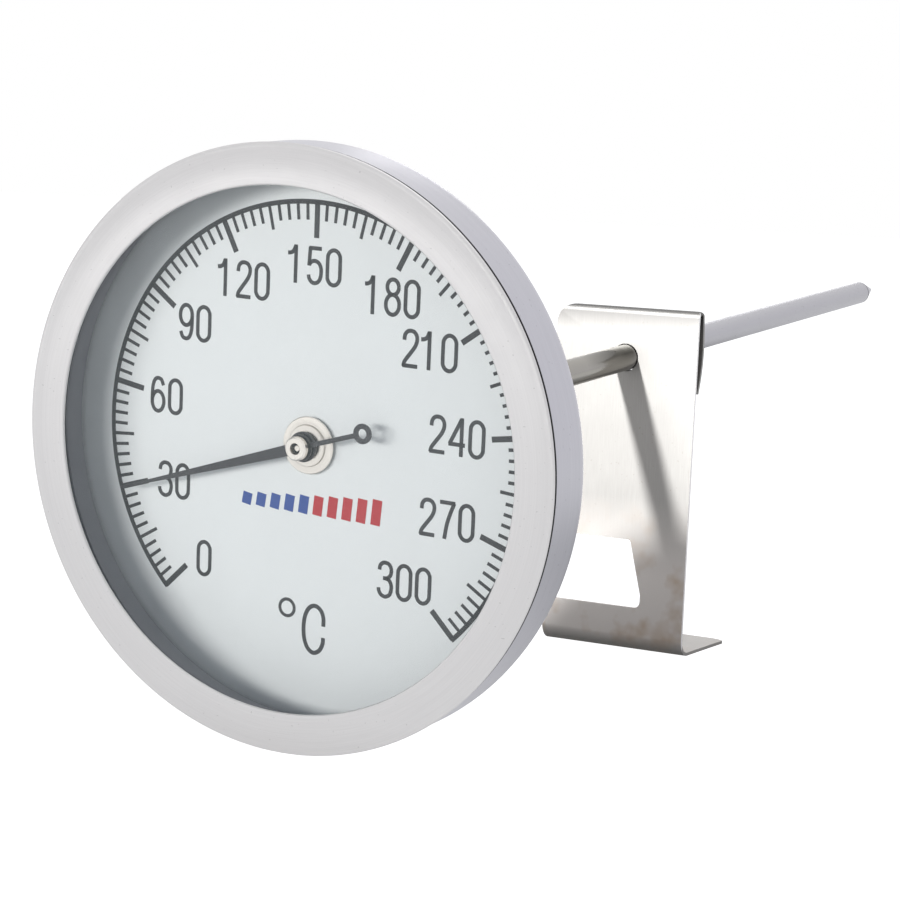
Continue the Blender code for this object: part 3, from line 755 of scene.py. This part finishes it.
STROKE = 0.5
nine = [loop((0, 3.2), 0.9, 1.28)]
nine += [[(0.9, 3.2), (0.88, 1.9), (0.75, 1.0), (0.45, 0.4), (0, 0.22), (-0.5, 0.42), (-0.8, 1.1)]]
FIGURES = {
    "0": [loop((0, 2.35), 0.9, 1.05, 1.08, 0, 360, 32)],
    "1": [[(-0.1, 0), (-0.1, 4.7)], [(-1.25, 3.62), (-0.8, 3.68), (-0.42, 3.95), (-0.14, 4.6)]],
    "2": [
        [(-0.88, 3.3), (-0.8, 3.95), (-0.45, 4.38), (0, 4.48), (0.5, 4.35), (0.85, 3.85),
         (0.85, 3.2), (0.55, 2.5), (0.0, 1.75), (-0.5, 1.1), (-0.82, 0.6), (-0.92, 0.1)],
        [(-1.05, 0.22), (1.02, 0.22)],
    ],
    "3": [
        [(-0.85, 3.5), (-0.75, 4.05), (-0.4, 4.4), (0, 4.48), (0.5, 4.33), (0.82, 3.8),
         (0.78, 3.1), (0.45, 2.65), (0.05, 2.52), (-0.3, 2.52)],
        [(0.05, 2.52), (0.55, 2.35), (0.87, 1.8), (0.9, 1.2), (0.7, 0.55), (0.25, 0.25),
         (-0.1, 0.22), (-0.55, 0.42), (-0.83, 0.85), (-0.9, 1.25)],
    ],
    "4": [[(0.55, 4.55), (-1.0, 1.42)], [(-1.15, 1.42), (1.1, 1.42)], [(0.6, 4.7), (0.6, 0)]],
    "5": [
        [(0.9, 4.48), (-0.86, 4.48)], [(-0.72, 4.6), (-0.86, 2.3)],
        [(-0.86, 2.4), (-0.55, 2.78), (-0.05, 2.95), (0.5, 2.75), (0.84, 2.2), (0.9, 1.5),
         (0.76, 0.8), (0.42, 0.36), (-0.05, 0.22), (-0.5, 0.38), (-0.82, 0.8), (-0.9, 1.2)],
    ],
    "6": [[(-x, 4.7 - y) for x, y in stroke] for stroke in nine],
    "7": [[(-1.05, 4.48), (1.05, 4.48)], [(0.92, 4.5), (0.45, 3.3), (0.0, 1.8), (-0.28, 0)]],
    "8": [loop((0, 3.56), 0.8, 0.92), loop((0, 1.43), 0.93, 1.2)],
    "9": nine,
}
print("figures drawn:", "".join(FIGURES))

# %% Print the numbers
NUMBERS = {
    0: (-15.4, -16.8), 30: (-20.3, -7.3), 60: (-21.7, 3.5), 90: (-17.6, 13.3),
    120: (-10.4, 19.5), 150: (-0.1, 22.2), 180: (11.0, 19.5), 210: (16.4, 13.6),
    240: (20.6, 3.7), 270: (19.7, -6.6), 300: (14.1, -15.3),
}
WIDTH = 2.68
ribbons = []
for value, (x, z) in NUMBERS.items():
    text = str(value)
    for i, figure in enumerate(text):
        left = x + (i - (len(text) - 1) / 2) * WIDTH
        for stroke in FIGURES[figure]:
            line = [(left + u, z - 2.35 + v) for u, v in stroke]
            ribbons.append((smooth_line(line, 3), STROKE))
printed("scale_numbers", ribbons, print_ink)

# %% Print the arc and the unit
arc_line = [Vector((29.97 * sin(radians(a)), 29.97 * cos(radians(a)))) for a in
            [-135.5 + 271 * i / 180 for i in range(181)]]
ring_mark = [Vector(p) for p in loop((-2.65, -21.15), 1.07, 1.07, 0, 0, 360, 32)]
big_c = [(2.78, -22.75), (2.74, -21.6), (2.3, -20.7), (1.45, -20.28), (0.6, -20.7),
         (0.05, -21.8), (-0.12, -23.3), (0.05, -24.8), (0.6, -25.9), (1.45, -26.35),
         (2.3, -25.9), (2.74, -25.0), (2.8, -24.2)]
printed("scale_arc_and_unit", [(arc_line, 0.6), (ring_mark, 0.42), (smooth_line(big_c), 0.55)], print_ink)

# %% [markdown]
# Below the hub is a plain cold-to-hot mark: five blue bars and five red ones that grow.

# %% Print the cold-to-hot mark
def mark_bar(i):
    x, tall = -9.2 + i * 2.1, 1.5 + 0.19 * i
    return [Vector((x, -8.75)), Vector((x + 0.25, -8.75 + tall))], 1.35


printed("cold_bars", [mark_bar(i) for i in range(5)], blue_ink)
printed("hot_bars", [mark_bar(i) for i in range(5, 10)], red_ink)

# %% [markdown]
# ## The hub and the pointer
# A nickel bush in the middle of the dial guides a thin spindle. On the spindle sit a black
# collar, the pointer and a small nickel cap. All of them except the bush turn together.

# %% Bush, collar, cap and spindle
bush_outline = [
    (2.0, 1.3), (2.0, -0.3), (3.5, -0.3), (3.6, -0.36), (3.6, -0.52), (3.5, -0.6), (2.75, -0.6),
    (2.65, -0.66), (2.55, -0.94), (2.45, -1.0), (0.7, -1.0), (0.7, 1.3),
]
stands_for(turned("dial_hub_bush", bush_outline, nickel, 96), "dial_bush")
collar = turned("pointer_hub", tube(0.7, 1.9, -1.9, -1.3, 0.12), pointer_enamel, 64)
stands_for(collar, "pointer_collar", "pointer_assembly")
cap_outline = [
    (1.4, -2.75), (1.5, -2.85), (1.5, -3.35), (1.3, -3.55), (0.75, -3.55), (0.7, -3.5), (0.7, -2.75),
]
stands_for(turned("pointer_cap", cap_outline, nickel, 64), "hub_cap", "pointer_assembly")
spindle_outline = [(0, 156.5), (0.36, 156.5), (0.4, 156.4), (0.4, -2.9), (0.34, -3.0), (0, -3.0)]
stands_for(turned("spindle_rod", spindle_outline, nickel, 32), "spindle", "pointer_assembly")


# %% [markdown]
# The pointer is stamped from thin sheet: a long blade, a boss, and a short tail with a ring that
# balances it. Its outline is drawn flat and given its thickness, and the edges are taken off.

# %% A piece cut from flat sheet
def flat_mesh(name, outlines, thickness):
    """A plate of that thickness about its own middle. The first outline is its edge."""
    curve = bpy.data.curves.new(name, "CURVE")
    curve.dimensions = "2D"
    curve.fill_mode = "BOTH"
    curve.extrude = thickness / 2
    for outline in outlines:
        spline = curve.splines.new("POLY")
        spline.points.add(len(outline) - 1)
        for point, (u, v) in zip(spline.points, outline):
            point.co = (u, v, 0, 1)
        spline.use_cyclic_u = True
    guide = bpy.data.objects.new(name + "_guide", curve)
    bpy.context.scene.collection.objects.link(guide)
    graph = bpy.context.evaluated_depsgraph_get()
    mesh = bpy.data.meshes.new_from_object(guide.evaluated_get(graph))
    bpy.data.objects.remove(guide, do_unlink=True)
    shape = bmesh.new()
    shape.from_mesh(mesh)
    bmesh.ops.remove_doubles(shape, verts=shape.verts, dist=1e-4)
    bmesh.ops.recalc_face_normals(shape, faces=shape.faces)
    shape.to_mesh(mesh)
    shape.free()
    mesh.shade_smooth()
    mesh.name = name
    return mesh


def apply_modifiers(obj, place):
    """Keeps what the modifiers make as a plain mesh in metres, at its place."""
    graph = bpy.context.evaluated_depsgraph_get()
    mesh = bpy.data.meshes.new_from_object(obj.evaluated_get(graph))
    obj.modifiers.clear()
    obj.data = mesh
    mesh.transform(place @ Matrix.Scale(MM, 4))
    obj.matrix_world = Matrix.Identity(4)
    return obj


def round_edges(obj, width, segments=2):
    bevel = obj.modifiers.new("edges", "BEVEL")
    bevel.width = width
    bevel.segments = segments
    bevel.limit_method = "ANGLE"
    bevel.angle_limit = radians(40)
    bevel.use_clamp_overlap = True
    bevel.harden_normals = True


# %% Pointer
def circle(centre, radius, steps, start=0.0):
    return bend(centre, radius, start + 360, start + 360 / steps, steps - 1)


blade, tail = degrees(asin(0.72 / 1.7)), degrees(asin(0.3 / 1.7))
upper = bend((0, 0), 1.7, blade, 180 - tail, 12)
balance = degrees(asin(0.3 / 1.25))
pointer_edge = upper + bend((-9.3, 0), 1.25, balance, 360 - balance, 36)
pointer_edge += [(u, -v) for u, v in reversed(upper)] + [(28.2, -0.12), (28.2, 0.12)]
pointer_shape = [pointer_edge, circle((0, 0), 0.7, 24), circle((-9.3, 0), 0.62, 24)]
pointer = bpy.data.objects.new("pointer_blade", flat_mesh("pointer_blade", pointer_shape, 0.25))
bpy.context.scene.collection.objects.link(pointer)
round_edges(pointer, 0.05, 1)
reading = radians(-135 + 0.9 * 30)
in_dial = Matrix.Translation((0, -0.002325, 0)) @ Matrix.Rotation(reading - pi / 2, 4, "Y")
apply_modifiers(pointer, dial_axes @ in_dial @ Matrix.Rotation(-pi / 2, 4, "X"))
finish_mesh(pointer, pointer_enamel, 0)
stands_for(pointer, "pointer", "pointer_assembly")

# %% [markdown]
# ## The stem
# A four-millimetre tube is closed by a pointed tip. A collar with a rubber seal holds it in the
# back of the case, and a brass nut inside clamps it. The collar and nut follow common practice.

# %% Tube, tip, collar, seal and nut
tube_outline = [(1.95, 194.1), (2.0, 194.05), (2.0, 1.7), (1.95, 1.6), (1.6, 1.6), (1.6, 194.1)]
stands_for(turned("stem_pipe", tube_outline, stem_steel, 64), "stem_tube")
tip_outline = bend((0, 200.4), 0.3, 90, 20, 5) + [(1.93, 194.62), (2.0, 194.42), (1.95, 194.4)]
tip_outline += [(1.3, 194.4), (1.3, 189.0), (0, 189.0)]
stands_for(turned("stem_point", tip_outline, stem_steel, 64), "stem_tip")
collar_outline = [
    (4.9, 7.2), (5.15, 7.12), (5.42, 6.85), (5.5, 6.6), (5.5, 4.55), (5.35, 4.4), (3.0, 4.4),
    (3.0, 0.3), (2.3, 0.3), (2.3, 7.05), (2.45, 7.2),
]
stands_for(turned("case_collar", collar_outline, case_steel, 96), "stem_collar")
stands_for(turned("case_seal", tube(3.3, 5.2, 3.6, 4.1, 0.1), seal_rubber, 64), "collar_seal")
nut = frame["nodes"]["case_nut"]
nut.material_slots[0].material = brass
print("the nut keeps its modelled shape, in", brass.name)

# %% [markdown]
# ## Inside the stem
# A coil of bimetal strip is fixed at the tip. As it warms it twists, and it turns the spindle
# through a small sleeve. Two brass bushes keep the spindle straight. None of this shows from
# outside, so it is a usual design and not a known one. The coil is a shape with a
# rule, a strip that climbs round a line, so Geometry Nodes make it too.

# %% Bushes and sleeve
for name, node, start, length, body in (
    ("front_bush", "upper_guide_bush", 20.0, 3.0, "case"),
    ("rear_bush", "lower_guide_bush", 148.0, 3.0, "case"),
    ("coil_sleeve", "helix_sleeve", 154.0, 4.0, "pointer_assembly"),
):
    stands_for(turned(name, tube(0.7, 1.3, start, start + length, 0.1), brass, 48), node, body)

# %% Bimetal finish and coil
bimetal = turned_metal("bimetal", (0.58, 0.53, 0.44), (0.46, 0.41, 0.34), 0.38, 4.0, 0.2, 0.8)
coil_tree = bpy.data.node_groups.new("Strip coil", "GeometryNodeTree")
coil_tree.interface.new_socket("Geometry", in_out="INPUT", socket_type="NodeSocketGeometry")
coil_inputs = {}
for label, value in (
    ("Turns", 11.0), ("Coil Radius", 0.95), ("Coil Length", 28.4),
    ("Strip Width", 1.5), ("Strip Thickness", 0.22),
):
    socket = coil_tree.interface.new_socket(label, in_out="INPUT", socket_type="NodeSocketFloat")
    socket.default_value = value
    coil_inputs[label] = socket.identifier
metal_socket = coil_tree.interface.new_socket("Metal", in_out="INPUT", socket_type="NodeSocketMaterial")
coil_tree.interface.new_socket("Geometry", in_out="OUTPUT", socket_type="NodeSocketGeometry")
given = coil_tree.nodes.new("NodeGroupInput").outputs
spiral = coil_tree.nodes.new("GeometryNodeCurveSpiral")
spiral.inputs["Resolution"].default_value = 24
for label, source in (
    ("Rotations", "Turns"), ("Start Radius", "Coil Radius"),
    ("End Radius", "Coil Radius"), ("Height", "Coil Length"),
):
    coil_tree.links.new(given[source], spiral.inputs[label])
upright = coil_tree.nodes.new("GeometryNodeSetCurveNormal")
upright.mode = "Z_UP"
strip = coil_tree.nodes.new("GeometryNodeCurvePrimitiveQuadrilateral")
coil_tree.links.new(given["Strip Thickness"], strip.inputs["Width"])
coil_tree.links.new(given["Strip Width"], strip.inputs["Height"])
swept = coil_tree.nodes.new("GeometryNodeCurveToMesh")
swept.inputs["Fill Caps"].default_value = True
real = coil_tree.nodes.new("GeometryNodeRealizeInstances")
coated_coil = coil_tree.nodes.new("GeometryNodeSetMaterial")
result = coil_tree.nodes.new("NodeGroupOutput")
coil_tree.links.new(spiral.outputs["Curve"], upright.inputs["Curve"])
coil_tree.links.new(upright.outputs["Curve"], swept.inputs["Curve"])
coil_tree.links.new(strip.outputs["Curve"], swept.inputs["Profile Curve"])
coil_tree.links.new(swept.outputs["Mesh"], real.inputs["Geometry"])
coil_tree.links.new(real.outputs["Geometry"], coated_coil.inputs["Geometry"])
coil_tree.links.new(given["Metal"], coated_coil.inputs["Material"])
coil_tree.links.new(coated_coil.outputs["Geometry"], result.inputs["Geometry"])
along_stem = stem_axes @ Matrix.Translation((0, 0.15930, 0)) @ Matrix.Rotation(-pi / 2, 4, "X")
coil = made_by_tree("bimetal_coil", coil_tree, {metal_socket.identifier: bimetal}, along_stem)
stands_for(coil, "bimetal_helix")

# %% [markdown]
# ## The clip
# The clip is one strip of thin spring sheet. A foot is bent back at the bottom, the plate stands
# up with a notch cut in its side, and the top is folded over into a short bowed leg behind it.
# The stem goes through both, and the bow grips it. The side view of the strip is drawn first and
# pulled out to its width. Then the corners, the notch and the hole are cut, as a press does.

# %% The strip's side view
clip_low, clip_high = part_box("pan_clip")
SHEET, FOOT, TOP, LEG_END = 0.5, 45.6, 7.8, -4.8
clip_axes = Matrix.Translation((0, clip_low[1], clip_high[2] - TOP * MM))
fold = (SHEET + 1.1) / 2
fold_height = TOP - SHEET / 2 - fold
middle_line = [(17.6, SHEET / 2 - FOOT)]
middle_line += bend((2.6, 2.6 - FOOT), 2.6 - SHEET / 2, 270, 180, 12)
middle_line += bend((SHEET / 2 + fold, fold_height), fold, 180, 0, 14)
LEG_STEPS = 24
for i in range(1, LEG_STEPS + 1):
    down = i / LEG_STEPS
    bow = 0.55 * sin(pi * down) - 0.75 * down ** 3
    drop = (fold_height - LEG_END) * down
    middle_line.append((SHEET / 2 + 2 * fold + bow, fold_height - drop))
front_side, back_side = [], []
for i, (u, v) in enumerate(middle_line):
    before, after = middle_line[max(i - 1, 0)], middle_line[min(i + 1, len(middle_line) - 1)]
    du, dv = after[0] - before[0], after[1] - before[1]
    k = SHEET / 2 / hypot(du, dv)
    front_side.append((u - dv * k, v + du * k))
    back_side.append((u + dv * k, v - du * k))
side_view = front_side + back_side[::-1]
print("the strip's middle line has", len(middle_line), "points")


# %% Pull it out and cut it
def cutter(name, outline, thickness, turn):
    mesh = flat_mesh(name, [outline], thickness)
    mesh.transform(turn)
    tool = bpy.data.objects.new(name, mesh)
    bpy.context.scene.collection.objects.link(tool)
    tool.hide_render = True
    return tool


def rounded_top(half_width, low, high, right, left):
    line = bend((half_width - right, high - right), right, 0, 90, 8)
    line += bend((left - half_width, high - left), left, 90, 180, 8)
    return [(-half_width, low), (half_width, low)] + line


PLATE_HALF_WIDTH, PLATE_TOP = 12, 7.802
RIGHT_CORNER, LEFT_CORNER = 0.6, 3.0
facing = Matrix.Rotation(pi / 2, 4, "X")
clip_mesh = flat_mesh("spring_clip", [side_view], 28)
clip_mesh.transform(Matrix.Rotation(pi / 2, 4, "Z") @ Matrix.Rotation(pi / 2, 4, "X"))
clip = bpy.data.objects.new("spring_clip", clip_mesh)
bpy.context.scene.collection.objects.link(clip)
notch = [(-17, -28.2), (-17, -38.75)] + bend((3.65, -37.75), 1.0, -90, 0, 6)
notch += [(4.65, -36.65)] + bend((2.1, -28.7), 0.5, 20, 90, 4)
tilted = Matrix.Rotation(stem_tilt, 4, "X") @ Matrix.Rotation(-pi / 2, 4, "X")
front = rounded_top(PLATE_HALF_WIDTH, -50, PLATE_TOP, RIGHT_CORNER, LEFT_CORNER)
tools = [
    (cutter("front_blank", front, 50, facing), "INTERSECT"),
    (cutter("foot_blank", rounded_top(13, -5, 17.602, 3.5, 3.5), 110, Matrix.Identity(4)), "INTERSECT"),
    (cutter("side_notch", notch, 8, facing), "DIFFERENCE"),
    (cutter("stem_hole", circle((0, 0), 2.15, 48), 16, tilted), "DIFFERENCE"),
]
for tool, operation in tools:
    cut = clip.modifiers.new(tool.name, "BOOLEAN")
    cut.object = tool
    cut.operation = operation
round_edges(clip, 0.07)
apply_modifiers(clip, clip_axes)
finish_mesh(clip, clip_sheet, 0)
for tool, _ in tools:
    bpy.data.objects.remove(tool, do_unlink=True)
stands_for(clip, "pan_clip", "clip")

# %% [markdown]
# The clip has a small lamp of its own, which lights nothing else. It is high and a little to the
# left, so the stem and the case throw their shadows on the clip's plate. Without it the clip
# looks darker than the case.

# %% Lamp for the clip
lit_clip = bpy.data.collections.new("lit_clip")
lit_clip.objects.link(clip)
clip_lamp_place = stem_axes @ Vector((-0.202, -0.809, 0.603))
clip_lamp = soft_lamp("clip_lamp", clip_lamp_place, (0, 0, 0.04), (0.06, 0.06), 36)
clip_lamp.light_linking.receiver_collection = lit_clip
print(clip_lamp.name, "lights only", clip.name)
